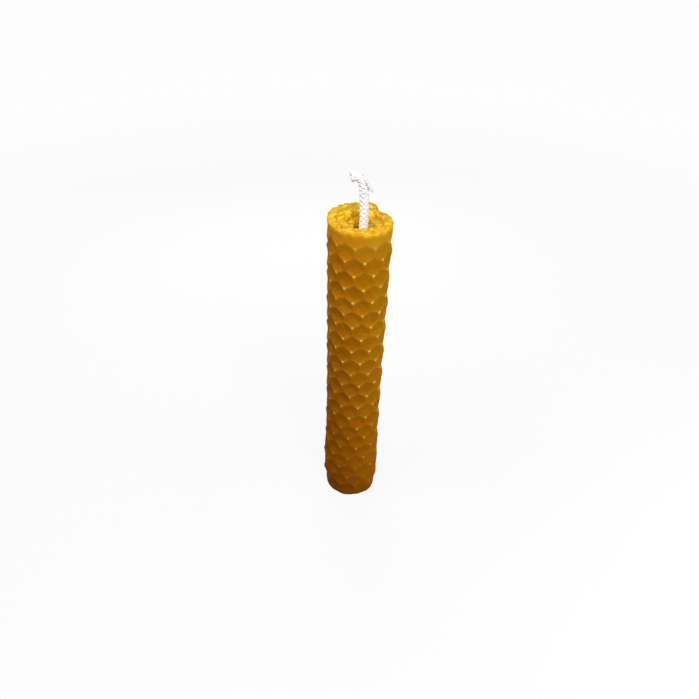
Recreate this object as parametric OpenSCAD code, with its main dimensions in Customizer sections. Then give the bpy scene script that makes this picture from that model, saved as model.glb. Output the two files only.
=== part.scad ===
// Rolled beeswax candle: a strip of embossed comb wax wound round a braided cotton wick.
// Millimetres, +Z up, the origin under the middle of the roll on the plane it stands on, front towards -Y.

/* [Wax strip] */
// Height of the strip at its outer end
sheet_h = 101; // [60:1:130]
// Length of the strip, in cells
cells_long = 21; // [16:1:26]
// Width of one comb cell across its flats
cell_w = 5; // [4.6:0.1:5.6]
// Thickness of the strip from the ridges of one face to those of the other
sheet_t = 1.65; // [1.2:0.05:2]
// Depth of a cell below the ridges
cell_depth = 0.95; // [0.4:0.05:0.95]
// Drop of the strip's slanting top edge from its outer end to the wick
mouth_depth = 4; // [0:0.5:8]

/* [Roll] */
// Gap between one turn and the next
turn_gap = 0.5; // [0.5:0.05:1.2]
// Direction of the strip's outer end, seen from above
seam_angle = 50; // [0:1:359]
// How much wider the roll is across its rim than across its foot
rim_flare = 1.4; // [0:0.1:2]
// How much narrower the foot is where a holder has squeezed it
foot_squeeze = 1.2; // [0:0.1:1.6]
// Height of the squeezed foot
foot_h = 7; // [4:0.5:12]

/* [Wick] */
// Width of the wick across its corners
wick_w = 2.6; // [1.6:0.1:3.2]
// Room between the wick and the first turn
wick_fit = 0.1; // [0.1:0.05:0.3]
// Straight length of wick above the strip's outer end
wick_stub = 9; // [6:0.5:16]
// Angle that the free end bends over to the left
wick_bend = 72; // [0:1:90]
// Radius of that bend, along the middle of the wick
wick_bend_r = 2; // [1.8:0.1:5]
// Length of wick past the bend
wick_tip = 1.9; // [1:0.1:6]
// Height of the wick's cut lower end above the foot
wick_lift = 0.5; // [0.2:0.1:2]

/* [Hidden] */

wax_colour = [0.76, 0.5, 0.07];
wick_colour = [0.95, 0.94, 0.9];

// The middle of the strip follows a spiral whose radius grows evenly with the angle wound.
turn_pitch = sheet_t + turn_gap;
growth = turn_pitch / (2 * PI);
bore_r = wick_w / 2 + wick_fit;
start_r = bore_r + sheet_t / 2;
strip_l = cells_long * cell_w;

// Angle wound, in radians, at a length along the strip
function wound(s) = (sqrt(start_r * start_r + 2 * growth * s) - start_r) / growth;

// Comb lattice: its columns are half a cell apart, and its points along a column are corner, centre, corner.
column_step = cell_w / 2;
point_step = cell_w / sqrt(3);
last_column = 2 * cells_long;
// Columns up to this one are split in two, because the strip bends sharply near the wick
fine_columns = 8;
columns = [for (c = 0; c <= last_column; c = c + (c < fine_columns ? 0.5 : 1)) c];

// Height of a column's first point, and the kind of a point: 0 lower corner, 1 centre, 2 upper corner
function first_point(c) = c % 2 == 0 ? 0 : point_step / 2;
function kind(c, m) = (m + (c % 2 == 0 ? 0 : 2) + 3) % 3;

// Offset of a lattice point from the middle of the strip, on the outer and on the inner face
function outer_at(k) = sheet_t / 2 - (k == 1 ? cell_depth : 0);
function inner_at(k) = -sheet_t / 2 + (k == 0 ? cell_depth : 0);
function offset_at(k, outside) = outside ? outer_at(k) : inner_at(k);

// Offset of a face at any height on a whole column, and on a column between two whole ones
function column_offset(c, v, outside) =
    let (x = (v - first_point(c)) / point_step, m = floor(x))
    let (low = offset_at(kind(c, m), outside), high = offset_at(kind(c, m + 1), outside))
    low + (high - low) * (x - m);
function face_offset(c, v, outside) =
    (column_offset(floor(c), v, outside) + column_offset(ceil(c), v, outside)) / 2;

// Top edge of the strip, which drops towards the wick
function top_edge(c) = sheet_h - mouth_depth * (1 - c / last_column);

// Heights of the points on a column: the foot, the lattice points clear of both edges, and the top edge
edge_room = 0.4;
function heights(c) =
    let (low = first_point(floor(c)), top = top_edge(c))
    let (n = ceil(top / point_step))
    let (inside = [for (m = [0 : n]) low + m * point_step])
    concat([0], [for (v = inside) if (v > edge_room && v < top - edge_room) v], [top]);

// Share of its middle width that the roll has at a height
wound_in_all = wound(strip_l);
roll_d = 2 * (start_r + growth * wound_in_all) - turn_pitch + sheet_t;
function ease(x) = let (t = max(0, min(1, x))) t * t * (3 - 2 * t);
function squeeze(v) = foot_squeeze * (1 - ease(2 * v / foot_h - 1));
function girth(v) = 1 + (rim_flare * (v / sheet_h - 0.5) - squeeze(v)) / roll_d;

// A point of the rolled strip: column, height, face. The inner face lies a little further out at its columns,
// so that its flat panels between them keep the full gap to the turn below.
function panel(c) = c < fine_columns ? 0.5 : 1;
function half_panel(c) = (wound((c + panel(c)) * column_step) - wound(c * column_step)) * 90 / PI;
function rolled(c, v, outside) =
    let (w = wound(c * column_step), a = seam_angle + (wound_in_all - w) * 180 / PI)
    let (r = start_r + growth * w + face_offset(c, v, outside))
    let (wide = girth(v) * (outside ? r : r / cos(half_panel(c))))
    [wide * cos(a), wide * sin(a), v];

column_heights = [for (c = columns) heights(c)];
function face_points(j, outside) = [for (v = column_heights[j]) rolled(columns[j], v, outside)];
roll_points = [for (j = [0 : len(columns) - 1]) each concat(face_points(j, true), face_points(j, false))];

// The roll stands with the middle of its outline over the origin
function middle(axis) =
    let (line = [for (p = roll_points) p[axis]])
    (min(line) + max(line)) / 2;
roll_axis = [-middle(0), -middle(1), 0];

// Index of a point by its column, its place on the column and its face
column_base = [for (j = 0, b = 0; j < len(columns); b = b + 2 * len(column_heights[j]), j = j + 1) b];
function outer_id(j, k) = column_base[j] + k;
function inner_id(j, k) = column_base[j] + len(column_heights[j]) + k;

// Triangles between two columns, each corner as [0 or 1 for the column, place on it]
function stitch(a, b, i = 0, k = 0) =
    i == len(a) - 1 && k == len(b) - 1 ? []
    : k == len(b) - 1 || (i < len(a) - 1 && a[i + 1] <= b[k + 1])
        ? concat([[[0, i], [0, i + 1], [1, k]]], stitch(a, b, i + 1, k))
        : concat([[[0, i], [1, k + 1], [1, k]]], stitch(a, b, i, k + 1));
stitches = [for (j = [0 : len(columns) - 2]) stitch(column_heights[j], column_heights[j + 1])];

outer_faces = [
    for (j = [0 : len(stitches) - 1])
    for (t = stitches[j])
    [for (q = [t[0], t[2], t[1]]) outer_id(j + q[0], q[1])]
];
inner_faces = [
    for (j = [0 : len(stitches) - 1])
    for (t = stitches[j])
    [for (q = t) inner_id(j + q[0], q[1])]
];

// Cut edges of the strip: rim, foot, inner end and outer end
last = len(columns) - 1;
function top_of(j) = len(column_heights[j]) - 1;
function rim_outer(j) = outer_id(j, top_of(j));
function rim_inner(j) = inner_id(j, top_of(j));
function quad(a, b, c, d) = [[a, b, c], [a, c, d]];
rim_faces = [
    for (j = [0 : last - 1])
    each quad(rim_outer(j), rim_outer(j + 1), rim_inner(j + 1), rim_inner(j))
];
foot_faces = [
    for (j = [0 : last - 1])
    each quad(outer_id(j, 0), inner_id(j, 0), inner_id(j + 1, 0), outer_id(j + 1, 0))
];
inner_end = [
    for (k = [0 : top_of(0) - 1])
    each quad(outer_id(0, k), outer_id(0, k + 1), inner_id(0, k + 1), inner_id(0, k))
];
outer_end = [
    for (k = [0 : top_of(last) - 1])
    each quad(outer_id(last, k), inner_id(last, k), inner_id(last, k + 1), outer_id(last, k + 1))
];
roll_faces = concat(outer_faces, inner_faces, rim_faces, foot_faces, inner_end, outer_end);

// Least gap between turns: the middles of the inner face's panels over the ridge line of the turn below
narrowest = min([for (v = [0 : 1 : sheet_h]) girth(v)]);
function ridge_r(w, side) = start_r + growth * w + side * sheet_t / 2;
turn_gaps = [for (c = columns)
    let (w = wound(c * column_step), h = half_panel(c) * PI / 180, below = w + h - 2 * PI)
    if (below > 0 && c < last_column)
        let (corner = ridge_r(w, -1) / cos(half_panel(c)))
        let (next = ridge_r(w + 2 * h, -1) / cos(half_panel(c + panel(c))))
        narrowest * ((corner + next) / 2 * cos(half_panel(c)) - ridge_r(below, 1))];
echo(least_gap_between_turns = min(turn_gaps));
echo(turns = wound_in_all / (2 * PI), strip_length = strip_l, roll_diameter = roll_d);

module wax_sheet() {
    color(wax_colour)
    translate(roll_axis)
    polyhedron(roll_points, roll_faces, convexity = 12);
}

// The wick is a tube of rings along its middle line: each ring has a centre and its lean to the left
wick_sides = 8;
bend_top = sheet_h + wick_stub;
straight_rings = 12;
bend_rings = 6;
straight_step = (bend_top - wick_lift) / straight_rings;
straight_line = [for (i = [0 : straight_rings - 1]) [0, wick_lift + i * straight_step, 0]];
function on_bend(a) = [wick_bend_r * (cos(a) - 1), bend_top + wick_bend_r * sin(a), a];
bend_line = [for (i = [0 : bend_rings]) on_bend(wick_bend * i / bend_rings)];
bend_end = on_bend(wick_bend);
tip_end = [bend_end[0] - wick_tip * sin(wick_bend), bend_end[1] + wick_tip * cos(wick_bend), wick_bend];
wick_line = concat(straight_line, bend_line, [tip_end]);

function ring_point(p, i) =
    let (a = 360 * (i + 0.5) / wick_sides, x = cos(a) * wick_w / 2, y = sin(a) * wick_w / 2)
    [p[0] + x * cos(p[2]), y, p[1] + x * sin(p[2])];
wick_points = [for (p = wick_line) for (i = [0 : wick_sides - 1]) ring_point(p, i)];
function wick_id(r, i) = r * wick_sides + i % wick_sides;
wick_rings = len(wick_line);
wick_walls = [for (r = [0 : wick_rings - 2]) for (i = [0 : wick_sides - 1])
    each quad(wick_id(r, i), wick_id(r + 1, i), wick_id(r + 1, i + 1), wick_id(r, i + 1))];
wick_ends = [
    [for (i = [0 : wick_sides - 1]) wick_id(0, i)],
    [for (i = [wick_sides - 1 : -1 : 0]) wick_id(wick_rings - 1, i)],
];

module wick() {
    color(wick_colour)
    translate(roll_axis)
    polyhedron(wick_points, concat(wick_walls, wick_ends), convexity = 4);
}

wax_sheet();
wick();
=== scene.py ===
# %% [markdown]
# # A rolled beeswax candle
# The candle is one strip of beeswax, embossed with comb cells, rolled up round a braided cotton wick.
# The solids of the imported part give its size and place. This lesson makes the two pieces again with the
# detail that the eye looks for: rounded cells, a cut and crumbled rim, and a braid of eight yarns.

# %% Start from the frame
from math import cos, pi, radians, sin, sqrt

import bpy
import numpy as np
from mathutils import Matrix, Vector


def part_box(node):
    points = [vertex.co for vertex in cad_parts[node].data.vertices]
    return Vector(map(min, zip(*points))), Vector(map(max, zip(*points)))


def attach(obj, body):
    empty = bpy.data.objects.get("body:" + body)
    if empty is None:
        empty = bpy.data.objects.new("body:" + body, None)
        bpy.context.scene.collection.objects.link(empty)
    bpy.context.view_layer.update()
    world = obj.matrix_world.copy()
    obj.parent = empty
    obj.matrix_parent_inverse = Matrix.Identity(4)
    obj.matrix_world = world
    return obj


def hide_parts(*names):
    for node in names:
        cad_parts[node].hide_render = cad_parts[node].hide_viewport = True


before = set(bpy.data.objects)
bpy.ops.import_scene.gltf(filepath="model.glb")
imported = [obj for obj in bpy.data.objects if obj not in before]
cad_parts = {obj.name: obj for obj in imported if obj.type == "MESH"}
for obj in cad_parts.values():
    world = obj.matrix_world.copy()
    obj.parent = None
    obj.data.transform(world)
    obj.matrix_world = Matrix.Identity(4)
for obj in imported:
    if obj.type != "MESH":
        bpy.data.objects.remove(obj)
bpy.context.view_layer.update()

MM = 0.001
wax_low, wax_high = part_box("wax_sheet")
wick_low, wick_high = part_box("wick")
wick_half = (wick_high.y - wick_low.y) / 2
ROLL_AXIS = Vector((wick_high.x - wick_half, (wick_high.y + wick_low.y) / 2, 0))
print("roll axis, mm:", [round(c / MM, 3) for c in ROLL_AXIS])
print("wax box, mm:", [round(c / MM, 2) for c in (*wax_low, *wax_high)])

# %% [markdown]
# ## The camera
# The photograph looks down on a small candle from close by, so its foot is seen more steeply than its rim.
# A camera can be turned by hand until the picture fits. Here its place and its three angles come from
# fitting the rows of comb corners, and the lens from the same fit.

# %% Camera
LENS, SENSOR = 41.15, 36
NEAREST = 10 * MM
CAMERA_PLACE = Vector((0, -196.86, 201.57)) * MM
CAMERA_TURN, CAMERA_DOWN, CAMERA_ROLL = radians(0.52), radians(36.67), radians(1.97)


def new_object(name, data):
    """Puts new data into the scene as an object."""
    made = bpy.data.objects.new(name, data)
    bpy.context.scene.collection.objects.link(made)
    return made


camera_data = bpy.data.cameras.new("camera")
camera_data.lens = LENS
camera_data.sensor_width = SENSOR
camera_data.clip_start = NEAREST
camera = new_object("camera", camera_data)
camera.matrix_world = (
    Matrix.Translation(CAMERA_PLACE)
    @ Matrix.Rotation(CAMERA_TURN, 4, "Z")
    @ Matrix.Rotation(pi / 2 - CAMERA_DOWN, 4, "X")
    @ Matrix.Rotation(CAMERA_ROLL, 4, "Z")
)
bpy.context.scene.camera = camera
print("camera stands", round(CAMERA_PLACE.length / MM), "mm from the foot")

# %% [markdown]
# ## One comb cell
# The real strip comes from between two engraved rollers, which press the same six-sided cell all over it.
# The whole sheet could be drawn at once, but what repeats is better modelled once. A circle of six corners
# stands upright, its sides are split in three, and insets put rings of faces close together near the
# ridge, where the surface bends, and wide apart in the middle.

# %% A flat cell with rings
CELL = 5 * MM
CORNER = CELL / sqrt(3)
ROW = 1.5 * CORNER
SIDE_CUTS = 2
RINGS = [0.25 * MM, 0.35 * MM, 0.6 * MM]


def only(piece):
    """Selects one piece alone and makes it active."""
    bpy.ops.object.select_all(action="DESELECT")
    bpy.context.view_layer.objects.active = piece
    piece.select_set(True)


def to_edit_mode(piece, select="SELECT"):
    """Enters edit mode on one piece, with all of its faces selected or none."""
    if bpy.context.object and bpy.context.object.mode != "OBJECT":
        bpy.ops.object.mode_set(mode="OBJECT")
    only(piece)
    bpy.ops.object.mode_set(mode="EDIT")
    bpy.ops.mesh.select_mode(type="FACE")
    bpy.ops.mesh.select_all(action=select)


bpy.ops.object.select_all(action="DESELECT")
bpy.ops.mesh.primitive_circle_add(
    vertices=6, radius=CORNER, fill_type="NGON", location=(0, 0, CORNER), rotation=(pi / 2, 0, 0)
)
wax = bpy.context.object
wax.name = wax.data.name = "wax_strip"
bpy.ops.object.transform_apply(location=True, rotation=True, scale=True)
to_edit_mode(wax)
bpy.ops.mesh.subdivide(number_cuts=SIDE_CUTS)
bpy.ops.mesh.select_all(action="SELECT")
for ring in RINGS:
    bpy.ops.mesh.inset(thickness=ring)
bpy.ops.mesh.poke()
bpy.ops.object.mode_set(mode="OBJECT")
print("one cell has", len(wax.data.polygons), "faces")

# %% [markdown]
# ## The flat strip
# A sheet has more cells than anyone would place by hand. A second cell half a cell along and one row down
# makes the unit that repeats, and two Array modifiers, one along and one up, fill more than the strip needs.
#
# Rolling stretches the outer face, so cells that are regular on the flat strip would come out too wide.
# The comb is therefore laid out a little too long here and is squashed to the strip's real length before
# it is rolled up. Where the print starts is a matter of chance on a real sheet. Here it puts the corners
# where the photograph shows them.

# %% Repeat the cell
STRIP_L = 105 * MM
SQUASH = 0.922
COMB_L = STRIP_L / SQUASH
PRINT_START, PRINT_LIFT = 2.67 * MM, 0.24 * MM
CELLS_ALONG, PAIRS_UP = 25, 13
SAME_POINT = 1e-6


def repeat(piece, name, step, count):
    """Repeats a piece along a step with an Array modifier, and applies it."""
    array = piece.modifiers.new(name, "ARRAY")
    array.use_relative_offset = False
    array.use_constant_offset = True
    array.constant_offset_displace = step
    array.count = count
    array.use_merge_vertices = True
    array.merge_threshold = SAME_POINT
    bpy.ops.object.modifier_apply(modifier=name)


to_edit_mode(wax)
bpy.ops.mesh.duplicate()
bpy.ops.transform.translate(value=(CELL / 2, 0, -ROW))
bpy.ops.object.mode_set(mode="OBJECT")
repeat(wax, "along the strip", (CELL, 0, 0), CELLS_ALONG)
repeat(wax, "up the strip", (0, 0, 2 * ROW), PAIRS_UP)
to_edit_mode(wax)
bpy.ops.mesh.remove_doubles(threshold=SAME_POINT)
bpy.ops.transform.translate(value=(-PRINT_START, 0, PRINT_LIFT))
bpy.ops.object.mode_set(mode="OBJECT")
print("the comb has", len(wax.data.polygons), "faces")

# %% [markdown]
# The real strip is cut from its sheet with a knife. Faces could be deleted one by one, but that would leave
# an edge that follows the cells. Bisect goes straight through them, as the knife does. The top edge slants,
# which is why the finished roll has its mouth lower than its rim, and the corner at the outer end is worn
# away.

# %% Cut the edges
STRIP_H = wax_high.z
MOUTH_DROP = 4 * MM
EDGE = 0.3 * MM
WORN_ALONG, WORN_DOWN = 3.6 * MM, 7 * MM
ON_CUT = 1e-7
slant = Vector((MOUTH_DROP / COMB_L, 0, 1)).normalized()
worn = Vector((-WORN_DOWN, 0, WORN_ALONG)).normalized()


def cut(piece, place, facing):
    """Cuts a piece along a plane and drops what lies in front of it."""
    to_edit_mode(piece)
    bpy.ops.mesh.bisect(plane_co=place, plane_no=facing, clear_outer=True, threshold=ON_CUT)
    bpy.ops.object.mode_set(mode="OBJECT")


cut(wax, (EDGE, 0, 0), (-1, 0, 0))
cut(wax, (COMB_L - EDGE, 0, 0), (1, 0, 0))
cut(wax, (0, 0, EDGE), (0, 0, -1))
cut(wax, (0, 0, STRIP_H - EDGE), slant)
cut(wax, (WORN_ALONG, 0, STRIP_H), worn)
print("the flat strip has", len(wax.data.polygons), "faces")

# %% [markdown]
# ## Thickness and soft edges
# Warm wax has no sharp edge. Solidify gives the sheet two faces and a border between them. A Bevel would
# round the edges of all cells too, so each side of the border is drawn out in steps instead, each a little
# narrower than the last.

# %% Solidify and round the edges
SHEET_T = 1.85 * MM
SAME_WAY = 0.99
# How far each step goes out, as a share of the edge, and how thick it is beside the step before
BORDER_STEPS = ((0.6, 0.95), (0.4, 0.82), (0, 0.45))


def select_faces(piece, wanted):
    """Selects the faces whose normal and middle pass a test, in edit mode."""
    to_edit_mode(piece, "DESELECT")
    bpy.ops.object.mode_set(mode="OBJECT")
    for face in piece.data.polygons:
        face.select = wanted(face.normal, face.center)
    bpy.ops.object.mode_set(mode="EDIT")


solid = wax.modifiers.new("thickness", "SOLIDIFY")
solid.thickness = SHEET_T
solid.offset = 0
bpy.ops.object.modifier_apply(modifier="thickness")
for facing in ((-1, 0, 0), (1, 0, 0), (0, 0, -1), slant, worn):
    facing = Vector(facing)
    for share, narrower in BORDER_STEPS:
        select_faces(wax, lambda normal, middle: normal.dot(facing) > SAME_WAY)
        bpy.ops.mesh.extrude_region_move(TRANSFORM_OT_translate={"value": facing * EDGE * share})
        bpy.ops.transform.resize(value=(1, narrower, 1), center_override=(0, 0, 0))
        bpy.ops.object.mode_set(mode="OBJECT")
print("the thick strip has", len(wax.data.polygons), "faces")

# %% [markdown]
# That leaves a notch at each corner of the strip, where two sides part. On the real strip a corner is just
# round. The notches could be filled with faces by hand. Smooth closes them with less trouble, because it
# draws the points near a corner together.

# %% Smooth the corners
CORNERS = [
    (0, 0),
    (0, STRIP_H - WORN_DOWN),
    (WORN_ALONG, STRIP_H),
    (COMB_L, 0),
    (COMB_L, STRIP_H - MOUTH_DROP),
]
CORNER_R = 1.2 * MM
SMOOTH_SHARE, SMOOTH_TIMES = 0.5, 6


def select_points(piece, wanted):
    """Selects the points whose place passes a test, in edit mode."""
    to_edit_mode(piece, "DESELECT")
    bpy.ops.mesh.select_mode(type="VERT")
    bpy.ops.object.mode_set(mode="OBJECT")
    for vertex in piece.data.vertices:
        vertex.select = wanted(vertex.co)
    bpy.ops.object.mode_set(mode="EDIT")


def points_of(piece):
    """All points of a piece, one row each, in metres."""
    return np.array([v.co for v in piece.data.vertices])


for along, up in CORNERS:
    select_points(wax, lambda place: (place.x - along) ** 2 + (place.z - up) ** 2 < CORNER_R**2)
    bpy.ops.mesh.vertices_smooth(factor=SMOOTH_SHARE, repeat=SMOOTH_TIMES, yaxis=False)
    bpy.ops.object.mode_set(mode="OBJECT")
places = points_of(wax) / MM
print("strip runs from", places.min(0).round(3), "to", places.max(0).round(3))

# %% [markdown]
# The rim of the real candle is crumbled by the knife. Crumbs half a millimetre wide need smaller faces than
# the comb does. Subdividing the whole strip would cost four times the faces, so it is done along the top
# edge alone.

# %% Smaller faces along the top edge
FINE_DOWN = 2 * MM


def below_top(along, up):
    """Distance below the slanting top edge, on the flat comb."""
    return STRIP_H - MOUTH_DROP * along / COMB_L - up


select_faces(wax, lambda normal, middle: below_top(middle.x, middle.z) < FINE_DOWN)
bpy.ops.mesh.subdivide(number_cuts=1)
bpy.ops.object.mode_set(mode="OBJECT")
print("strip has", len(wax.data.polygons), "faces")

# %% [markdown]
# ## Pressing the cells
# Both rollers press at once, and a cell of one face lies behind a corner of the other, so the web between
# them zigzags and stays thin. Sculpting that would never come out regular. Each point is instead moved by
# how far it is from the nearest ridge, on its own face, which is what the rollers do. Where three ridges
# meet over a cell of the back, the wax stands highest: these are the bright dots of the photograph.

# %% Distances on the comb
PULL = 4 * pi / (sqrt(3) * CELL)
WAVES = (pi / 6, pi / 2, 5 * pi / 6)
NEAR_RIDGE = 0.5 * MM


def near_cells(x, z, centre_z):
    """Offsets from the nearest middle of a cell, for the row at a point and the rows next to it."""
    row = np.round((z - centre_z) / ROW)
    for line in (row - 1, row, row + 1):
        across = x - CELL / 2 * (line % 2)
        across = across - CELL * np.round(across / CELL)
        yield across, z - centre_z - line * ROW


def from_ridge(x, z, centre_z):
    """Distance from the nearest ridge of a comb that has the middle of a cell at (0, centre_z)."""
    best = np.full(len(x), np.inf)
    for across, up in near_cells(x, z, centre_z):
        steps = [abs(across * cos(a) + up * sin(a)) for a in (0, pi / 3, -pi / 3)]
        best = np.minimum(best, np.maximum.reduce(steps))
    return CELL / 2 - best


def wave(x, z, centre_z):
    """1 at the middles of the cells, -0.5 at all their corners, smooth between."""
    return sum(np.cos(PULL * (x * cos(a) + (z - centre_z) * sin(a))) for a in WAVES) / 3


def from_dot(x, z):
    """Distance from the nearest corner that has a cell of the back behind it, and the height above it."""
    best, above = np.full(len(x), np.inf), np.zeros(len(x))
    for across, up in near_cells(x, z, 0):
        distance = np.hypot(across, up)
        above = np.where(distance < best, up, above)
        best = np.minimum(best, distance)
    return best, above


flat = points_of(wax)
x, y, z = flat.T.copy()
comb_x, comb_z = x + PRINT_START, z - PRINT_LIFT
front, back = from_ridge(comb_x, comb_z, CORNER), from_ridge(comb_x, comb_z, 0)
dot_far, dot_above = from_dot(comb_x, comb_z)
print("points within half a millimetre of a ridge of the front:", int((front < NEAR_RIDGE).sum()))

# %% [markdown]
# The rollers' print isn't the same all over. It is worn off at the foot, softer in the lower third, where
# hands held the candle, and smeared away at the rim. That could be rubbed out with a brush. One number for
# each point, which later scales the print, is easier to change and comes out the same on every run.

# %% Strength of the print
SHARP_AT, SHARP = (5, 60), (0.1, 0.75)
WORN_AT, WORN = (0, 25, 65), (0.75, 0.98, 1.05)
UNEVEN = 0.12
LONG_A, HIGH_A = 4.1 * MM, 6.3 * MM
LONG_B, HIGH_B = 7.9 * MM, 3.7 * MM
FOOT_SMOOTH, FOOT_PRINT = 2.5 * MM, 0.15
WALL_SMOOTH, WALL_PRINT = 5 * MM, 0.1

run = x * SQUASH
below_rim = STRIP_H - MOUTH_DROP * run / STRIP_L - z
sharp = np.interp(z / MM, SHARP_AT, SHARP)
worn_off = np.interp(z / MM, WORN_AT, WORN)
patchy = np.sin(x / LONG_A + z / HIGH_A) + np.sin(z / HIGH_B - x / LONG_B)
worn_off = worn_off * (1 + UNEVEN * patchy)
worn_off = worn_off * np.clip(z / FOOT_SMOOTH, FOOT_PRINT, 1)
worn_off = worn_off * np.clip(below_rim / WALL_SMOOTH, WALL_PRINT, 1)
print("print strength from", round(float(worn_off.min()), 2), "to", round(float(worn_off.max()), 2))

# %% [markdown]
# At the rim the wax is also pressed inwards until the turns touch, so that only a few small pits stay open
# between them. Moving one turn against the next by hand would be slow. The inner face is drawn in over the
# gap instead, except at the pits.

# %% Close the turns at the rim
PITCH = 2.15 * MM
OVERLAP = 0.15 * MM
SHUT_TOP, SHUT_OVER = 1.6, 4 * MM
PITS = [5, 12.6, 18, 25, 33, 40, 52, 60, 69, 77, 86, 95]
PIT_HALF, PIT_DEEP = 0.45 * MM, 0.4 * MM

shut = np.clip(SHUT_TOP - below_rim / SHUT_OVER, 0, 1)
pits = sum(np.exp(-(((run - pit * MM) / PIT_HALF) ** 2)) for pit in PITS) * shut
drawn_in = pits * PIT_DEEP - shut * (1 - pits) * (PITCH - SHEET_T + OVERLAP)
print(int((shut == 1).sum()), "points are shut against the next turn")

# %% [markdown]
# Now the points move. A sharp ridge is steep and a worn one is rounded over, the web zigzags, the corners
# between dots lie a little lower, and the dots a little higher. The cut top edge isn't quite straight
# either: TOP_EDGE says, in millimetres, how far it has dropped at some lengths along the strip.

# %% Press both faces
CELL_DEPTH = 0.44 * MM
ZIGZAG = 0.1 * MM
SADDLE = 0.1 * MM
DOT_RISE, DOT_R = 0.12 * MM, 0.95 * MM
WAVE_LOW, WAVE_SPAN = 0.5, 1.5
TOP_EDGE = [
    (0, 0.9), (9, 0.8), (18, 0.66), (46, 1.7), (54, 0.95),
    (63, 0.95), (72, 1.8), (80, 2.5), (105, 3.5),
]
EDGE_FADE = 10 * MM


def pressed(distance, sharp):
    """Depth below the ridges at a distance from the nearest one, level in the middle of a cell."""
    out = 1 - np.clip(distance / (CELL / 2), 0, 1)
    return CELL_DEPTH * (sharp * (1 - out * out) + (1 - sharp) * (1 + np.cos(pi * out)) / 2)


zigzag = ZIGZAG * (wave(comb_x, comb_z, 0) - wave(comb_x, comb_z, CORNER)) / WAVE_SPAN
saddle = SADDLE * (wave(comb_x, comb_z, -CORNER) + WAVE_LOW) / WAVE_SPAN
dot_rise = DOT_RISE * np.clip(1 - dot_far / DOT_R, 0, 1)
outer = SHEET_T / 2 + (zigzag + dot_rise - saddle - pressed(front, sharp)) * worn_off
inner = -SHEET_T / 2 + (pressed(back, sharp) + zigzag) * worn_off * (1 - shut)
inner += drawn_in
share = 0.5 - y / SHEET_T
along, drop = (np.array(column) * MM for column in zip(*TOP_EDGE))
fade = np.clip(1 - below_rim / EDGE_FADE, 0, 1) ** 2
raised = (MOUTH_DROP * run / STRIP_L - np.interp(run, along, drop)) * fade
flat[:, 0] = run
flat[:, 1] = -(inner + (outer - inner) * share)
flat[:, 2] = z + raised
wax.data.vertices.foreach_set("co", flat.ravel())
print("web between the cells, mm:", round(float((outer - inner).min()) / MM, 2))

# %% [markdown]
# The finish will need to know where the ridges and the rim are, after the strip is rolled up. That could
# be painted on later. The mesh can carry it along instead, as attributes: how near a ridge each point is,
# how near the rim, and its place on the flat strip.

# %% Remember ridges, rim and place
RIDGE_HALF = 0.85 * MM
RIM_SMOOTH = 3 * MM
GLEAM_R, GLEAM_LEAST = 1.5 * MM, 0.4
DULL_BELOW = 0.6
NOT_ZERO = 1e-6


def remember(name, kind, field, values):
    """Stores a value or a vector for each point of the strip."""
    made = wax.data.attributes.new(name, kind, "POINT")
    made.data.foreach_set(field, values.ravel())


own_ridge = np.where(y < 0, front, back)
below_dot = np.clip(-dot_above / np.maximum(dot_far, NOT_ZERO), 0, 1) ** 2
# gleam: painted highlight, the ridge bloom brighter near the dots and duller on the ridge below each dot
gleam = GLEAM_LEAST + (1 - GLEAM_LEAST) * np.exp(-((dot_far / GLEAM_R) ** 2))
gleam = gleam * (1 - DULL_BELOW * below_dot)
remember("ridge", "FLOAT", "value", np.clip(1 - own_ridge / RIDGE_HALF, 0, 1) * gleam)
remember("cut_edge", "FLOAT", "value", np.clip(1 - below_rim / RIM_SMOOTH, 0, 1))
remember("strip", "FLOAT_VECTOR", "vector", np.column_stack((comb_x, comb_z, 2 * share - 1)))
print("the strip has", len(wax.data.attributes), "attributes")

# %% [markdown]
# ## Rolling it up
# On the real candle the strip is laid on the wick and rolled up from there. Turns of separate rings would
# have no seam and no spiral in the mouth. A Curve modifier lays the one strip along a spiral that starts at
# the outer end and runs in to the wick. Each turn is one pitch inside the last, so the turns never cut into
# each other.

# %% Spiral and Curve modifier
GROWTH = PITCH / (2 * pi)
FIRST_R = 2.3 * MM
SEAM_ANGLE = radians(50)
SPIRAL_POINTS, SPARE_ANGLE = 900, 0.1
wound_in_all = (sqrt(FIRST_R**2 + 2 * GROWTH * STRIP_L) - FIRST_R) / GROWTH


def curve_through(name, places, twist_mode):
    """A curve of straight steps through some places."""
    data = bpy.data.curves.new(name, "CURVE")
    data.dimensions = "3D"
    data.twist_mode = twist_mode
    line = data.splines.new("POLY")
    line.points.add(len(places) - 1)
    for point, place in zip(line.points, places):
        point.co = (*place, 1)
    return data


def lay_along(piece, name, path_data):
    """Bends a piece that lies along X so that it follows a curve, and drops the curve."""
    path_data.use_path = True
    path = new_object(name, path_data)
    only(piece)
    bend = piece.modifiers.new(name, "CURVE")
    bend.object = path
    bend.deform_axis = "POS_X"
    bpy.ops.object.modifier_apply(modifier=name)
    bpy.data.objects.remove(path)


spiral_line = []
for t in np.linspace(0, wound_in_all + SPARE_ANGLE, SPIRAL_POINTS):
    r = FIRST_R + GROWTH * (wound_in_all - t)
    spiral_line.append((r * cos(SEAM_ANGLE + t), r * sin(SEAM_ANGLE + t), 0))
lay_along(wax, "spiral", curve_through("spiral", spiral_line, "Z_UP"))
rolled = points_of(wax) / MM
reach = np.hypot(rolled[:, 0], rolled[:, 1])
print("roll: radius", reach.min().round(2), "to", reach.max().round(2), "mm")

# %% [markdown]
# ## Hand-rolled shape
# A hand-rolled candle is never a true cylinder. It is a little wider at the rim than at the foot, which a
# Taper does, and its lowest few millimetres are squeezed from standing in a holder. The squeeze is a resize
# with proportional editing, so that it fades out upwards as soft wax does.

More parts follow.
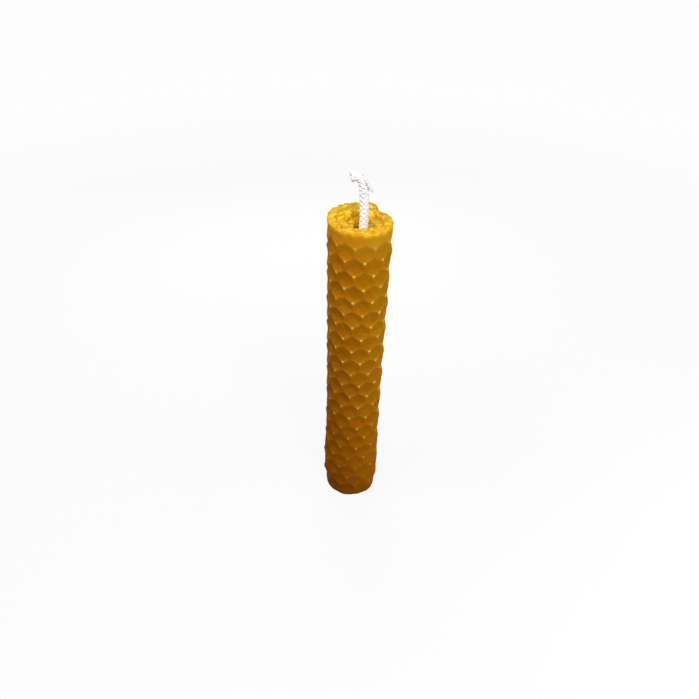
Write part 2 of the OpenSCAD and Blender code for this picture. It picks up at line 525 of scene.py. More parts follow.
# %% Taper and squeezed foot
RIM_FLARE = 1.4 * MM
ROLL_D = 17.03 * MM
FOOT_SQUEEZE = 1.2 * MM
FOOT_H = 7 * MM
FOOT_ROUND, FOOT_IN = 1.4 * MM, 0.99
FOOT_EDGE = 0.1 * MM
narrow, wide = 1 - RIM_FLARE / 2 / ROLL_D, 1 + RIM_FLARE / 2 / ROLL_D
squeezed = 1 - FOOT_SQUEEZE / (ROLL_D * narrow)


def squeeze(share, falloff, reach):
    """Narrows what is selected towards the roll's axis, fading out over a reach."""
    bpy.ops.transform.resize(
        value=(share, share, 1),
        center_override=(0, 0, 0),
        use_proportional_edit=True,
        proportional_edit_falloff=falloff,
        proportional_size=reach,
    )


to_edit_mode(wax)
bpy.ops.transform.resize(value=(narrow, narrow, 1), center_override=(0, 0, 0))
bpy.ops.object.mode_set(mode="OBJECT")
taper = wax.modifiers.new("taper", "SIMPLE_DEFORM")
taper.deform_method = "TAPER"
taper.deform_axis = "Z"
taper.factor = wide / narrow - 1
bpy.ops.object.modifier_apply(modifier="taper")
select_points(wax, lambda place: place.z < FOOT_H / 2)
squeeze(squeezed, "SMOOTH", FOOT_H / 2)
select_points(wax, lambda place: place.z < FOOT_EDGE)
squeeze(FOOT_IN, "SHARP", FOOT_ROUND)
bpy.ops.mesh.select_all(action="SELECT")
bpy.ops.transform.translate(value=ROLL_AXIS)
bpy.ops.object.mode_set(mode="OBJECT")
bpy.ops.object.shade_smooth()
tapered = points_of(wax) / MM
print("tapered roll, mm:", tapered.min(0).round(2), tapered.max(0).round(2))

# %% [markdown]
# The photograph's outline is fuller just above the squeezed foot and flares over the last centimetre below
# the rim. More resizes would each need a place and a reach. A Lattice with a row of points every three
# millimetres carries it all at once: each row is widened or moved sideways by the amount read off the
# outline.

# %% Fuller outline
# Height, how much wider each side is there, and how far the roll is moved to the right, in millimetres
GIRTH = [
    (0, 1.05, -0.1), (6, 1, 0), (13, 1, -0.1), (16, 0.9, -0.15), (20, 0.52, -0.12), (26, 0.36, -0.1),
    (45, 0.28, -0.05), (66, 0.32, 0), (75, 0.45, 0), (90, 0.48, 0), (95, 0.58, 0.05), (101, 0.58, 0.05),
]
ROWS = 35
LATTICE_W = 24 * MM

cage = bpy.data.lattices.new("outline")
cage.points_u = cage.points_v = 2
cage.points_w = ROWS
cage.interpolation_type_w = "KEY_CATMULL_ROM"
outline = new_object("outline", cage)
outline.scale = (LATTICE_W, LATTICE_W, STRIP_H / (ROWS - 1))
outline.location = ROLL_AXIS + Vector((0, 0, STRIP_H / 2))
heights, fuller, aside = (np.array(column) for column in zip(*GIRTH))
for point in cage.points:
    height = (point.co.z / (ROWS - 1) + 0.5) * STRIP_H / MM
    grow = 1 + np.interp(height, heights, fuller) * MM / (ROLL_D / 2)
    move = np.interp(height, heights, aside) * MM / LATTICE_W
    point.co_deform = (point.co.x * grow + move, point.co.y * grow, point.co.z)
only(wax)
fit = wax.modifiers.new("outline", "LATTICE")
fit.object = outline
bpy.ops.object.modifier_apply(modifier="outline")
bpy.data.objects.remove(outline)
fitted = points_of(wax) / MM
print("fuller roll, mm:", fitted.min(0).round(2), fitted.max(0).round(2))

# %% [markdown]
# One knob of wax stands out at the lower left. It could be a lump of its own, but then a seam would show.
# It is pulled out of the wall with proportional editing.

# %% Knob at the lower left
KNOB, KNOB_R = Vector((-8.3, -1.2, 7)) * MM, 0.9 * MM
KNOB_OUT, KNOB_DOWN = 0.45 * MM, 0.2 * MM
KNOB_REACH = 2.5 * MM
select_points(wax, lambda place: (place - KNOB).length < KNOB_R)
knob_points = sum(v.select for v in wax.data.vertices)
bpy.ops.transform.translate(
    value=(-KNOB_OUT, 0, -KNOB_DOWN),
    use_proportional_edit=True,
    proportional_edit_falloff="SHARP",
    proportional_size=KNOB_REACH,
)
bpy.ops.object.mode_set(mode="OBJECT")
print("knob: moved", knob_points, "points")

# %% [markdown]
# The cut rim is lumpy, because the knife drags the soft wax, and on the left it is crumbled. Sculpting is
# the usual way to such a surface, but it comes out differently each time. Three Displace modifiers with
# cloud textures do it here, held to the last millimetres by vertex groups.

# %% Lumpy and crumbled rim
CLOUD_DEPTH = 2
RIM_DEEP = 2.5 * MM
# Size of the clouds, then how far they move the wax
LUMPS_UP = (1.4 * MM, 1.1 * MM)
LUMPS_OUT = (1.1 * MM, 0.3 * MM)
CRUMBS = (0.65 * MM, 0.6 * MM)
CRUMB_MIDDLE, CRUMB_SLOPE, CRUMB_LEAST = 0.3, 1.6, 0.15


def uneven(piece, name, clouds, direction, group=""):
    """Moves the surface by a cloud texture and applies it."""
    size, strength = clouds
    texture = bpy.data.textures.new(name, "CLOUDS")
    texture.noise_scale = size
    texture.noise_depth = CLOUD_DEPTH
    made = piece.modifiers.new(name, "DISPLACE")
    made.texture = texture
    made.texture_coords = "LOCAL"
    made.strength = strength
    made.mid_level = 0.5
    made.direction = direction
    made.vertex_group = group
    bpy.ops.object.modifier_apply(modifier=name)


def weigh(piece, name, weights):
    """A vertex group of the points that have a weight."""
    group = piece.vertex_groups.new(name=name)
    for index in np.flatnonzero(weights > 0):
        group.add([int(index)], float(weights[index]), "REPLACE")


near_rim = 1 - below_rim / RIM_DEEP
weigh(wax, "rim", near_rim)
uneven(wax, "lumps up", LUMPS_UP, "Z", "rim")
uneven(wax, "lumps out", LUMPS_OUT, "NORMAL", "rim")
to_left = CRUMB_MIDDLE - CRUMB_SLOPE * (points_of(wax)[:, 0] - ROLL_AXIS.x) / ROLL_D
weigh(wax, "crumbled", near_rim * np.clip(to_left, CRUMB_LEAST, 1))
uneven(wax, "crumbs", CRUMBS, "NORMAL", "crumbled")
print("rim: moved", int((near_rim > 0).sum()), "points")

# %% [markdown]
# Rolling by hand leaves the whole wall slightly uneven, and warm hands dent the lower part. The same
# modifier does both. What it pushes below the floor is then flattened onto it, because the candle stands on
# its foot.

# %% Uneven wall and flat foot
WALL = (7 * MM, 0.3 * MM)
DENTS = (3 * MM, 0.6 * MM)
HELD_TO, OUTER_TURN = 45 * MM, 50 * MM
BAND = 5

uneven(wax, "wall", WALL, "NORMAL")
weigh(wax, "held", np.where(run < OUTER_TURN, 1 - np.maximum(0, z) / HELD_TO, 0))
uneven(wax, "dents", DENTS, "NORMAL", "held")
select_points(wax, lambda place: place.z < 0)
bpy.ops.transform.resize(value=(1, 1, 0), center_override=(0, 0, 0))
bpy.ops.object.mode_set(mode="OBJECT")
shaped = points_of(wax) / MM
for low in (0, 3, 8, 50, 95):
    band = shaped[(shaped[:, 2] >= low) & (shaped[:, 2] < low + BAND)]
    print("z from", low, "mm: x", band[:, 0].min().round(2), band[:, 0].max().round(2))

# %% [markdown]
# ## The wick
# The wick is a square braid: four yarns wind one way and four the other, and each goes over and under in
# turn. It runs up through the roll, leans a little to the right in the mouth and bends over to the left at
# its free end. That line comes first, because the braid has to be as long as it is.

# %% The wick's line
WICK_LIFT = wick_low.z / MM
# How far to the right, and the height, in millimetres
WICK_LINE = [
    (0, WICK_LIFT), (0, 30), (0, 60), (0, 88), (0.22, 95), (0.4, 99), (0.38, 103), (0.2, 107),
    (0.06, 109.2), (-0.3, 110.7), (-1.05, 111.95), (-2.15, 112.5), (-3.3, 112.25),
]
WICK_STEPS = 200


def smooth_line(places, count):
    """A curve through the places, with its points spread evenly by number."""
    places = [Vector(place) for place in places]
    ends = [2 * places[0] - places[1], *places, 2 * places[-1] - places[-2]]
    line = []
    for u in np.linspace(0, len(places) - 1.001, count):
        i, s = int(u), u - int(u)
        a, b, c, d = ends[i : i + 4]
        bow, sway = 2 * a - 5 * b + 4 * c - d, 3 * b - a - 3 * c + d
        line.append(0.5 * (2 * b + (c - a) * s + bow * s**2 + sway * s**3))
    return line


wick_places = [ROLL_AXIS + Vector((right, 0, height)) * MM for right, height in WICK_LINE]
wick_line = smooth_line(wick_places, WICK_STEPS)
WICK_L = sum((b - a).length for a, b in zip(wick_line, wick_line[1:]))
print("the wick is", round(WICK_L / MM, 1), "mm long")

# %% [markdown]
# A yarn is two threads twisted together. Two thin tubes could be wound round each other, but from any
# distance the eye sees one two-lobed strand. So a yarn is a curve with a two-lobed outline that turns along
# it, made into a mesh whose end caps are welded on.

# %% How to make a yarn
CAP_GAP = 1e-7


def lobed_outline(name, middle_r, lobes, points):
    """A closed curve round two threads that lie side by side; lobes is how far they stand out."""
    data = bpy.data.curves.new(name, "CURVE")
    data.dimensions = "2D"
    data.fill_mode = "NONE"
    line = data.splines.new("POLY")
    line.points.add(points - 1)
    line.use_cyclic_u = True
    for i, point in enumerate(line.points):
        a = 2 * pi * i / points
        r = middle_r * (1 + lobes * cos(2 * a))
        point.co = (r * cos(a), r * sin(a), 0, 1)
    return new_object(name, data)


def to_mesh(piece):
    """Turns a bevelled curve into a mesh and welds the caps at its ends."""
    only(piece)
    bpy.ops.object.convert(target="MESH")
    to_edit_mode(piece)
    bpy.ops.mesh.remove_doubles(threshold=CAP_GAP)
    bpy.ops.object.mode_set(mode="OBJECT")


def yarn(name, places, outline, twist):
    """A mesh of one yarn along a line of places, closed at both ends. It uses up its outline."""
    data = curve_through(name, places, "MINIMUM")
    data.bevel_mode = "OBJECT"
    data.bevel_object = outline
    data.use_fill_caps = True
    length = 0
    for i, point in enumerate(data.splines[0].points):
        length += (Vector(places[i]) - Vector(places[i - 1])).length if i else 0
        point.tilt = 2 * pi * length / twist
    piece = new_object(name, data)
    to_mesh(piece)
    bpy.data.objects.remove(outline)
    to_edit_mode(piece)
    bpy.ops.mesh.normals_make_consistent(inside=False)
    bpy.ops.object.mode_set(mode="OBJECT")
    return piece


print("a yarn's caps are welded within", CAP_GAP / MM, "mm")

# %% [markdown]
# In the braid a yarn's distance from the middle swings in and out, which takes it over one neighbour and
# under the next. One yarn is made for each way round, and the others are copies of it, turned by quarters.
# A core of straight cotton fills the middle, as in a real wick, so that no gap shows between the yarns.

# %% Braid
LEAD = 6 * MM
BRAID_R = 0.8 * MM
SWING = 0.09 * MM
YARN_R, YARN_LOBES, YARN_SIDES = 0.46 * MM, 0.12, 10
YARN_STEP = 0.16 * MM
TWIST = 2.4 * MM
FLARE_L, FLARE = 1.8 * MM, 0.18
CORE_R, CORE_LOBES, CORE_SIDES = 1.08 * MM, 0.05, 16
CORE_TWIST, CORE_SHORT, CORE_STEPS = 8 * MM, 0.3 * MM, 240


def braid_line(way):
    """Places along one yarn of the braid, laid straight along X; way is 1 or -1."""
    places = []
    for u in np.linspace(0, WICK_L, int(WICK_L / YARN_STEP)):
        a = 2 * pi * u / LEAD
        flare = max(0, u - WICK_L + FLARE_L) / FLARE_L
        r = (BRAID_R + way * SWING * cos(4 * a)) * (1 + FLARE * flare * flare)
        places.append((u, r * cos(way * a), r * sin(way * a)))
    return places


def join(main, *others):
    """Joins other pieces to one and returns it."""
    only(main)
    for piece in others:
        piece.select_set(True)
    bpy.ops.object.join()
    return bpy.context.object


yarns = []
for way in (1, -1):
    yarn_outline = lobed_outline("yarn outline", YARN_R, YARN_LOBES, YARN_SIDES)
    first = yarn("yarn", braid_line(way), yarn_outline, way * TWIST)
    yarns.append(first)
    for quarter in (1, 2, 3):
        copy = new_object("yarn", first.data.copy())
        copy.data.transform(Matrix.Rotation(quarter * pi / 2, 4, "X"))
        yarns.append(copy)
core_line = [(u, 0, 0) for u in np.linspace(0, WICK_L - CORE_SHORT, CORE_STEPS)]
core_outline = lobed_outline("core outline", CORE_R, CORE_LOBES, CORE_SIDES)
yarns.append(yarn("core", core_line, core_outline, CORE_TWIST))
wick = join(*yarns)
wick.name = wick.data.name = "braided_wick"
print("braid:", len(wick.data.polygons), "faces")

# %% [markdown]
# The straight braid then follows the wick's line. The Curve modifier that rolled the wax does this too.

# %% Bend the wick
lay_along(wick, "wick path", curve_through("wick path", wick_line, "MINIMUM"))
bent = points_of(wick) / MM
print("wick box, mm:", bent.min(0).round(2), bent.max(0).round(2))

# %% [markdown]
# A cut braid comes undone. One yarn has slipped out and droops to the right. It is made as the others are,
# but along a short line of its own.

# %% Loose yarn
LOOSE = [
    (-0.3, -0.5, 111.6), (0.45, -0.85, 111.9), (1.0, -0.95, 111.0), (1.55, -0.9, 109.9), (2.2, -0.8, 108.8),
]
LOOSE_R, LOOSE_LOBES = 0.38 * MM, 0.2
LOOSE_TWIST, LOOSE_STEPS = 2 * MM, 40
loose_places = [ROLL_AXIS + Vector(place) * MM for place in LOOSE]
loose_line = [tuple(place) for place in smooth_line(loose_places, LOOSE_STEPS)]
loose_outline = lobed_outline("loose outline", LOOSE_R, LOOSE_LOBES, YARN_SIDES)
loose = yarn("loose yarn", loose_line, loose_outline, LOOSE_TWIST)
print("loose yarn:", len(loose.data.polygons), "faces")

# %% [markdown]
# Fine fibres stand off the cut end and the loose yarn and, thinly, off the sides. Blender's hair would look
# finer but is no mesh. Short curves with a round bevel, each with a curl of its own, become closed tubes
# that can be joined to the braid. A seed keeps them the same on every run.

# %% Where the fibres start
SEED = 11
TIP_FIBRES, LOOSE_FIBRES, SIDE_FIBRES = 40, 16, 36
# Distances in millimetres, and how far the fibres spread
TIP_BACK, TIP_SPREAD = 0.5, 0.8
LOOSE_OFF, LOOSE_SPREAD = 0.15, 0.5
LOOSE_WAY = Vector((0.7, 0, -1))
SIDE_FROM, SIDE_TO, SIDE_OFF = 98, 110, 1.2
chance = np.random.default_rng(SEED)


def any_way():
    """A direction by chance."""
    return Vector(chance.normal(0, 1, 3)).normalized()


tip_end = wick_line[-1]
over = (wick_line[-1] - wick_line[-6]).normalized()
free_end = [place for place in wick_line if SIDE_FROM * MM < place.z < SIDE_TO * MM]
frayed = []
for _ in range(TIP_FIBRES):
    spread = any_way()
    start = tip_end - over * TIP_BACK * MM + spread * chance.uniform(0.2, 1.0) * MM
    frayed.append((start, (over + spread * TIP_SPREAD).normalized(), chance.uniform(0.5, 1.3) * MM))
for _ in range(LOOSE_FIBRES):
    spread = any_way()
    start = loose_places[-1] + spread * LOOSE_OFF * MM
    frayed.append((start, (LOOSE_WAY + spread * LOOSE_SPREAD).normalized(), chance.uniform(0.3, 0.8) * MM))
for _ in range(SIDE_FIBRES):
    a = chance.uniform(0, 2 * pi)
    off = Vector((cos(a), sin(a), 0))
    start = free_end[chance.integers(len(free_end))] + off * SIDE_OFF * MM
    lean = Vector((0, 0, chance.uniform(-1, 1)))
    frayed.append((start, (off + lean).normalized(), chance.uniform(0.3, 0.7) * MM))
print("fibres to make:", len(frayed))

# %% Fibres
FIBRE_R = 0.022 * MM
FIBRE_STEPS = 5
CURL, CURL_SHARE = 0.5, 0.6


def fibres(name, starts, radius):
    """Fine closed tubes, each from a start along a direction, with a curl by chance."""
    data = bpy.data.curves.new(name, "CURVE")
    data.dimensions = "3D"
    data.bevel_depth = radius
    data.bevel_resolution = 0
    data.use_fill_caps = True
    for start, along, length in starts:
        curl = Vector(chance.normal(0, CURL, 3))
        line = data.splines.new("POLY")
        line.points.add(FIBRE_STEPS)
        for k, point in enumerate(line.points):
            s = k / FIBRE_STEPS
            point.co = (*(start + along * length * s + curl * length * s * s * CURL_SHARE), 1)
    piece = new_object(name, data)
    to_mesh(piece)
    return piece


wick = join(wick, loose, fibres("fibres", frayed, FIBRE_R))
bpy.ops.object.shade_smooth()
print("wick:", len(wick.data.polygons), "faces")

# %% [markdown]
# ## Tools for the finishes
# A finish is a tree of nodes. Drawn by hand, each node takes a few clicks. These helpers add one node each,
# join it up and hand back its output, so that a finish reads from top to bottom.

# %% Helpers for nodes
def node(tree, kind, **settings):
    """Adds a node and sets its properties."""
    made = tree.nodes.new(kind)
    for key, value in settings.items():
        setattr(made, key, value)
    return made


def set_sockets(made, values):
    """Sets a node's own sockets by name."""
    for name, value in values.items():
        made.inputs[name].default_value = value


def noise(tree, scale, detail=3.0):
    """Noise on the piece's own coordinates; scale is in features to a metre."""
    place = node(tree, "ShaderNodeTexCoord")
    made = node(tree, "ShaderNodeTexNoise")
    set_sockets(made, {"Scale": scale, "Detail": detail})
    tree.links.new(place.outputs["Object"], made.inputs["Vector"])
    return made.outputs["Fac"]


def span(tree, value, low, high, to_low, to_high):
    """Maps a value from one range to another."""
    made = node(tree, "ShaderNodeMapRange")
    set_sockets(made, {"From Min": low, "From Max": high, "To Min": to_low, "To Max": to_high})
    tree.links.new(value, made.inputs["Value"])
    return made.outputs["Result"]


def blend(tree, share, below, above):
    """Mixes two colours, each a colour or a socket, by a share."""
    made = node(tree, "ShaderNodeMix", data_type="RGBA")
    tree.links.new(share, made.inputs[0])
    for socket, colour in ((made.inputs[6], below), (made.inputs[7], above)):
        if isinstance(colour, tuple):
            socket.default_value = (*colour, 1)
        else:
            tree.links.new(colour, socket)
    return made.outputs[2]


def attribute(tree, name, kind="Fac"):
    """What the mesh carries under a name, as a value or a vector."""
    return node(tree, "ShaderNodeAttribute", attribute_name=name).outputs[kind]


def both(tree, operation, first, second):
    """One value from two."""
    made = node(tree, "ShaderNodeMath", operation=operation)
    tree.links.new(first, made.inputs[0])
    tree.links.new(second, made.inputs[1])
    return made.outputs[0]


def product(tree, first, *others):
    """All of the values multiplied together."""
    for other in others:
        first = both(tree, "MULTIPLY", first, other)
    return first


def axes_of(tree, vector):
    """The three numbers of a vector, by name."""
    made = node(tree, "ShaderNodeSeparateXYZ")
    tree.links.new(vector, made.inputs[0])
    return made.outputs


def grain(tree, shader, scale, detail, strength, depth):
    """A fine bump from noise."""
    bump = node(tree, "ShaderNodeBump")
    set_sockets(bump, {"Strength": strength, "Distance": depth})
    tree.links.new(noise(tree, scale, detail), bump.inputs["Height"])
    tree.links.new(bump.outputs["Normal"], shader.inputs["Normal"])


def new_finish(piece, name):
    """Gives a piece a new material alone, and returns its tree and its shader."""
    material = bpy.data.materials.new(name)
    material.use_nodes = True
    piece.data.materials.clear()
    piece.data.materials.append(material)
    return material.node_tree, material.node_tree.nodes["Principled BSDF"]


print("finishes are ready to make for", wax.name, "and", wick.name)

# %% [markdown]
# ## Beeswax
# Beeswax is honey-gold, cloudy on the scale of a centimetre and grainy on that of a crumb. Towards the foot
# it turns darker and ruddier, which is painted shade, and it is darkest at the foot's edge, also painted
# shade. Near the rim it turns paler, which is painted light. One colour would look like plastic, and a
# painted picture would have to be redrawn for each size. Noise and the height of a point mix the colours
# instead.

# %% Honey colour
HONEY = (0.47, 0.186, 0.002)
AMBER = (0.41, 0.147, 0.0014)
# the ruddy colour serves the grain and also the painted shade towards the foot
RUDDY_GRAIN_AND_SHADE = (0.34, 0.095, 0.001)
# painted shade at the foot's edge, by the floor
FOOT_EDGE_SHADE = (0.2, 0.05, 0.001)
# painted light: the paler colour of the rim and of the mouth
PAINTED_RIM_LIGHT = (0.71, 0.34, 0.01)
CLOUDS, GRAINS = 160, 1500
FOOT_SHADE_TO = 70 * MM
EDGE_SHADE_FROM, EDGE_SHADE_TO = 0.3 * MM, 4 * MM
RIM_LIGHT_FROM, RIM_LIGHT_TO = 92 * MM, 99 * MM

tree, shader = new_finish(wax, "beeswax")
place = axes_of(tree, node(tree, "ShaderNodeTexCoord").outputs["Object"])
height = place["Z"]
colour = blend(tree, span(tree, noise(tree, CLOUDS), 0.35, 0.65, 0, 1), HONEY, AMBER)
colour = blend(tree, span(tree, noise(tree, GRAINS, 2), 0.3, 0.7, 0, 0.55), colour, RUDDY_GRAIN_AND_SHADE)
# painted shade: darker and redder towards the foot, where less light falls
colour = blend(tree, span(tree, height, 0, FOOT_SHADE_TO, 1, 0), colour, RUDDY_GRAIN_AND_SHADE)
# painted shade: darkest in the lowest few millimetres, next to the floor
colour = blend(tree, span(tree, height, EDGE_SHADE_FROM, EDGE_SHADE_TO, 0.75, 0), colour, FOOT_EDGE_SHADE)
# painted light: paler towards the rim
colour = blend(tree, span(tree, height, RIM_LIGHT_FROM, RIM_LIGHT_TO, 0, 0.6), colour, PAINTED_RIM_LIGHT)
print("honey colour:", len(tree.nodes), "nodes")

# %% [markdown]
# A paler bloom sits on what is touched most, the ridges, and is fainter on the lower part. The strip
# carries its ridges as an attribute, so the bloom stays on them wherever the roll goes. Near the dots the
# bloom is brighter and on the ridge below each dot duller, which is painted highlight. The wax is also a
# little redder on the left and yellower on the right, which is painted shade on the left and painted
# light on the right, where the lamps fall.

# %% Bloom and painted side light
BLOOM_AND_GLEAM = (0.62, 0.3, 0.03)
BLOOM_PATCHES = 420
FAINTER_FROM, FAINTER_TO = 6 * MM, 56 * MM
# painted light: redder on the shaded left side, yellower on the lit right side
SHADE_SIDE_TINT, LIT_SIDE_TINT = (1.0, 0.945, 1.0), (1.0, 1.145, 1.0)

# fainter towards the foot, for the bloom and for the painted highlights at the dots
fainter_low = span(tree, height, FAINTER_FROM, FAINTER_TO, 0.12, 1)
# bloom on the ridges, partly painted highlight near the dots
ridge_bloom_and_gleam = span(tree, attribute(tree, "ridge"), 0.1, 0.9, 0, 0.6)
in_patches = span(tree, noise(tree, BLOOM_PATCHES), 0.35, 0.65, 0.35, 1)
colour = blend(tree, product(tree, ridge_bloom_and_gleam, fainter_low, in_patches), colour, BLOOM_AND_GLEAM)
# painted shade on the left, painted light on the right
to_lit_side = span(tree, place["X"], -ROLL_D / 2, ROLL_D / 2, 0, 1)
tinted = node(tree, "ShaderNodeVectorMath", operation="MULTIPLY")
tree.links.new(colour, tinted.inputs[0])
tree.links.new(blend(tree, to_lit_side, SHADE_SIDE_TINT, LIT_SIDE_TINT), tinted.inputs[1])
colour = tinted.outputs["Vector"]
print("with bloom and fading:", len(tree.nodes), "nodes")

# %% [markdown]
# The corners where three ridges meet stand highest, and their pale colour is a painted highlight. They
# could be picked out one by one. Three waves that cross on the flat strip all crest at just these corners,
# so their sum finds them.

# %% Painted highlights at the dots
# painted highlight at the dots
DOT_HIGHLIGHT = (1.0, 0.58, 0.09)
DOT_FROM, DOT_TO = 2.64, 2.88
DOTS_FROM, DOTS_TO = 93 * MM, 97 * MM


def dots(tree):
    """The three waves of the comb added up on the flat strip: 3 at each dot, less all round it."""
    total = None
    for a in WAVES:
        along = node(tree, "ShaderNodeVectorMath", operation="DOT_PRODUCT")
        along.inputs[1].default_value = (PULL * cos(a), PULL * sin(a), 0)
        tree.links.new(attribute(tree, "strip", "Vector"), along.inputs[0])
        crest = node(tree, "ShaderNodeMath", operation="COSINE")
        tree.links.new(along.outputs["Value"], crest.inputs[0])
        total = both(tree, "ADD", total, crest.outputs[0]) if total else crest.outputs[0]
    return total


flat_place = axes_of(tree, attribute(tree, "strip", "Vector"))
at_dot = span(tree, dots(tree), DOT_FROM, DOT_TO, 0, 1)
outside = span(tree, flat_place["Z"], 0.9, 1, 0, 1)
here_and_there = span(tree, noise(tree, CLOUDS), 0.35, 0.6, 0.5, 1)
below_mouth = span(tree, height, DOTS_FROM, DOTS_TO, 1, 0)
# painted highlights at the dots, fainter towards the foot
dot_highlight = product(tree, at_dot, outside, here_and_there, fainter_low, below_mouth)
colour = blend(tree, dot_highlight, colour, DOT_HIGHLIGHT)
print("with dots:", len(tree.nodes), "nodes")

# %% [markdown]
# The rim and the wax down inside the mouth are painted paler, which is painted light from above, and noise
# breaks it into lumps of painted highlight. The painted light fades towards the wick, and the highlights fade
# on the outer face of the lip; both are painted shade. The strip's second attribute says where the cut edge
# is.

# %% Painted light at the rim
# painted highlights in lumps on the rim
RIM_HIGHLIGHT = (0.97, 0.8, 0.08)
HIGHLIGHT_LUMPS = 720
CORE_FROM, CORE_TO = 81 * MM, 108 * MM

cut_edge = attribute(tree, "cut_edge")
inwards = span(tree, flat_place["Z"], -1, 0.6, 1, 0)
near_core = span(tree, flat_place["X"], CORE_FROM, CORE_TO, 1, 0.7)
# painted light on the rim and down in the mouth, fading towards the wick as painted shade
lit_mouth = product(tree, span(tree, cut_edge, 0, 0.5, 0, 1), inwards, near_core)
lit_edge = span(tree, cut_edge, 0.6, 0.95, 0, 0.75)
rim_lit = both(tree, "MAXIMUM", lit_edge, lit_mouth)
colour = blend(tree, rim_lit, colour, PAINTED_RIM_LIGHT)
# lumps of painted highlight, fainter on the outer face of the lip as painted shade
lumps = span(tree, noise(tree, HIGHLIGHT_LUMPS, 2), 0.42, 0.64, 0, 0.9)
lumps = product(tree, lumps, rim_lit, span(tree, flat_place["Z"], -0.6, 0.8, 1, 0.35))
colour = blend(tree, lumps, colour, RIM_HIGHLIGHT)
tree.links.new(colour, shader.inputs["Base Color"])
print("with cut wax:", len(tree.nodes), "nodes")

# %% [markdown]
# Beeswax lets light in a little way, so its edges glow and its hollows never go grey. Glass would let it
# through, and plain colour would stop it. Subsurface scattering is between the two. The surface is satin,
# with a roughness that varies and a grain too fine to model.

# %% Depth and sheen of wax
GLOSS_PATCHES = 700
WAX_GRAIN, WAX_GRAIN_DETAIL = 1800, 4
tree.links.new(span(tree, noise(tree, GLOSS_PATCHES), 0.3, 0.7, 0.6, 0.75), shader.inputs["Roughness"])
set_sockets(shader, {
    "Subsurface Weight": 0.6,
    "Subsurface Radius": (1.0, 0.45, 0.1),
    "Subsurface Scale": 2 * MM,
    "IOR": 1.44,
    "Specular IOR Level": 0.02,
})
grain(tree, shader, WAX_GRAIN, WAX_GRAIN_DETAIL, 0.25, 0.05 * MM)
print("beeswax has", len(tree.nodes), "nodes")

# %% [markdown]
# ## Cotton
# The cotton is bright and matt, with a short nap that catches light at its edges. Plain white would look
# like chalk. A little sheen stands for the nap, and fine noise breaks up the white.

# %% Cotton finish
COTTON, BRIGHT_COTTON = (0.84, 0.835, 0.82), (0.9, 0.895, 0.88)
FLECKS = 4000
NAP, NAP_DETAIL = 9000, 2
tree, shader = new_finish(wick, "cotton")
fleck = span(tree, noise(tree, FLECKS, 2), 0.3, 0.7, 0, 1)
tree.links.new(blend(tree, fleck, COTTON, BRIGHT_COTTON), shader.inputs["Base Color"])
set_sockets(shader, {"Roughness": 0.9, "Sheen Weight": 0.4})
grain(tree, shader, NAP, NAP_DETAIL, 0.15, 0.04 * MM)
print("cotton has", len(tree.nodes), "nodes")

# %% [markdown]
# ## Floor and light
# The candle stands on white, with hardly a shadow. A white floor would light the wax from below. So the
# floor is a disc that glows white to the camera alone and is dark grey to all other light, but still takes
# a shadow. The lamps light its middle, so it glows a little less there.

# %% Floor
FLOOR_R, FLOOR_SIDES = 3, 96
FLOOR_GREY = 0.12
GLOW_NEAR, GLOW_FAR = (0.05, 0.86), (0.4, 0.95)


def white_to(tree):
    """1 for what the camera sees, straight, in a reflection or through glass, and 0 for all other light."""
    path = node(tree, "ShaderNodeLightPath").outputs
    mirrored = both(tree, "MAXIMUM", path["Is Glossy Ray"], path["Is Transmission Ray"])
    return both(tree, "MAXIMUM", path["Is Camera Ray"], mirrored)


bpy.ops.object.select_all(action="DESELECT")
bpy.ops.mesh.primitive_circle_add(
    vertices=FLOOR_SIDES, radius=FLOOR_R, fill_type="NGON", location=(0, 0, 0)
)
floor = bpy.context.object
floor.name = "floor"
paper = bpy.data.materials.new("white paper")
paper.use_nodes = True
floor.data.materials.append(paper)
tree = paper.node_tree
tree.nodes.clear()
matt = node(tree, "ShaderNodeBsdfDiffuse")
set_sockets(matt, {"Color": (FLOOR_GREY, FLOOR_GREY, FLOOR_GREY, 1)})
away = node(tree, "ShaderNodeVectorMath", operation="LENGTH")
tree.links.new(node(tree, "ShaderNodeTexCoord").outputs["Object"], away.inputs[0])
white = span(tree, away.outputs["Value"], GLOW_NEAR[0], GLOW_FAR[0], GLOW_NEAR[1], GLOW_FAR[1])
glow = node(tree, "ShaderNodeEmission")
tree.links.new(product(tree, white, white_to(tree)), glow.inputs["Strength"])
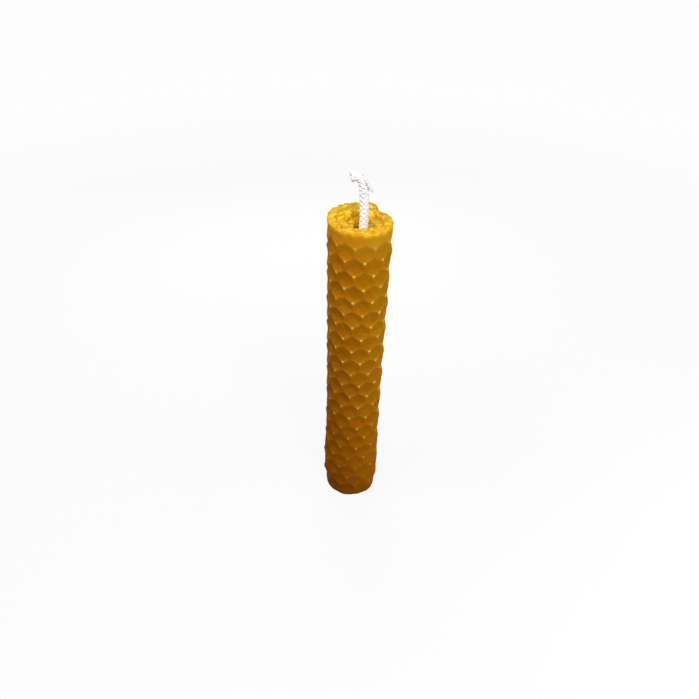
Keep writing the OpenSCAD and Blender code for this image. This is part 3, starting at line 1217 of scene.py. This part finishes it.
together = node(tree, "ShaderNodeAddShader")
tree.links.new(matt.outputs[0], together.inputs[0])
tree.links.new(glow.outputs[0], together.inputs[1])
output = node(tree, "ShaderNodeOutputMaterial")
tree.links.new(together.outputs[0], output.inputs["Surface"])
print("floor:", len(tree.nodes), "nodes")

# %% [markdown]
# Four soft lamps stand close by, so that the rim gets much more light than the foot, as in the photograph.
# The key is above the camera and a little to the right. One fill on the left is high and one on the right
# is low, and the third shows the back. Together with the room they light a surface about as bright as its
# colour is written.

# %% World and lamps
ROOM_LIGHT = 0.25
world = bpy.data.worlds.new("studio")
bpy.context.scene.world = world
world.use_nodes = True
tree = world.node_tree
tree.nodes.clear()
room = node(tree, "ShaderNodeBackground")
set_sockets(room, {"Color": (1, 1, 1, 1)})
tree.links.new(span(tree, white_to(tree), 0, 1, ROOM_LIGHT, 1), room.inputs["Strength"])
output = node(tree, "ShaderNodeOutputWorld")
tree.links.new(room.outputs[0], output.inputs["Surface"])


def lamp(name, place, aim, size, power):
    """A square soft lamp, turned towards a point."""
    data = bpy.data.lights.new(name, "AREA")
    data.shape = "SQUARE"
    data.size = size
    data.energy = power
    made = new_object(name, data)
    made.location = place
    made.rotation_euler = (Vector(aim) - Vector(place)).to_track_quat("-Z", "Y").to_euler()


lamp("key", (0.06, -0.17, 0.22), (0, 0, 0.07), 0.12, 0.35)
lamp("left fill", (-0.075, -0.045, 0.19), (0, 0, 0.1), 0.1, 0.1)
lamp("right fill", (0.17, -0.06, 0.01), (0, 0, 0.01), 0.14, 0.17)
lamp("back fill", (-0.03, 0.18, 0.14), (0, 0, 0.06), 0.14, 0.18)
bpy.context.scene.view_settings.view_transform = "Standard"
print("lamps:", [light.name for light in bpy.data.lights])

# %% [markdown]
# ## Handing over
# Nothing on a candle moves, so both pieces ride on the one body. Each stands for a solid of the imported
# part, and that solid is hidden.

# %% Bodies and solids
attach(wick, "root")
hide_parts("wick")
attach(wax, "root")
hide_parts("wax_sheet")
print("pieces:", wick.name, "and", wax.name)
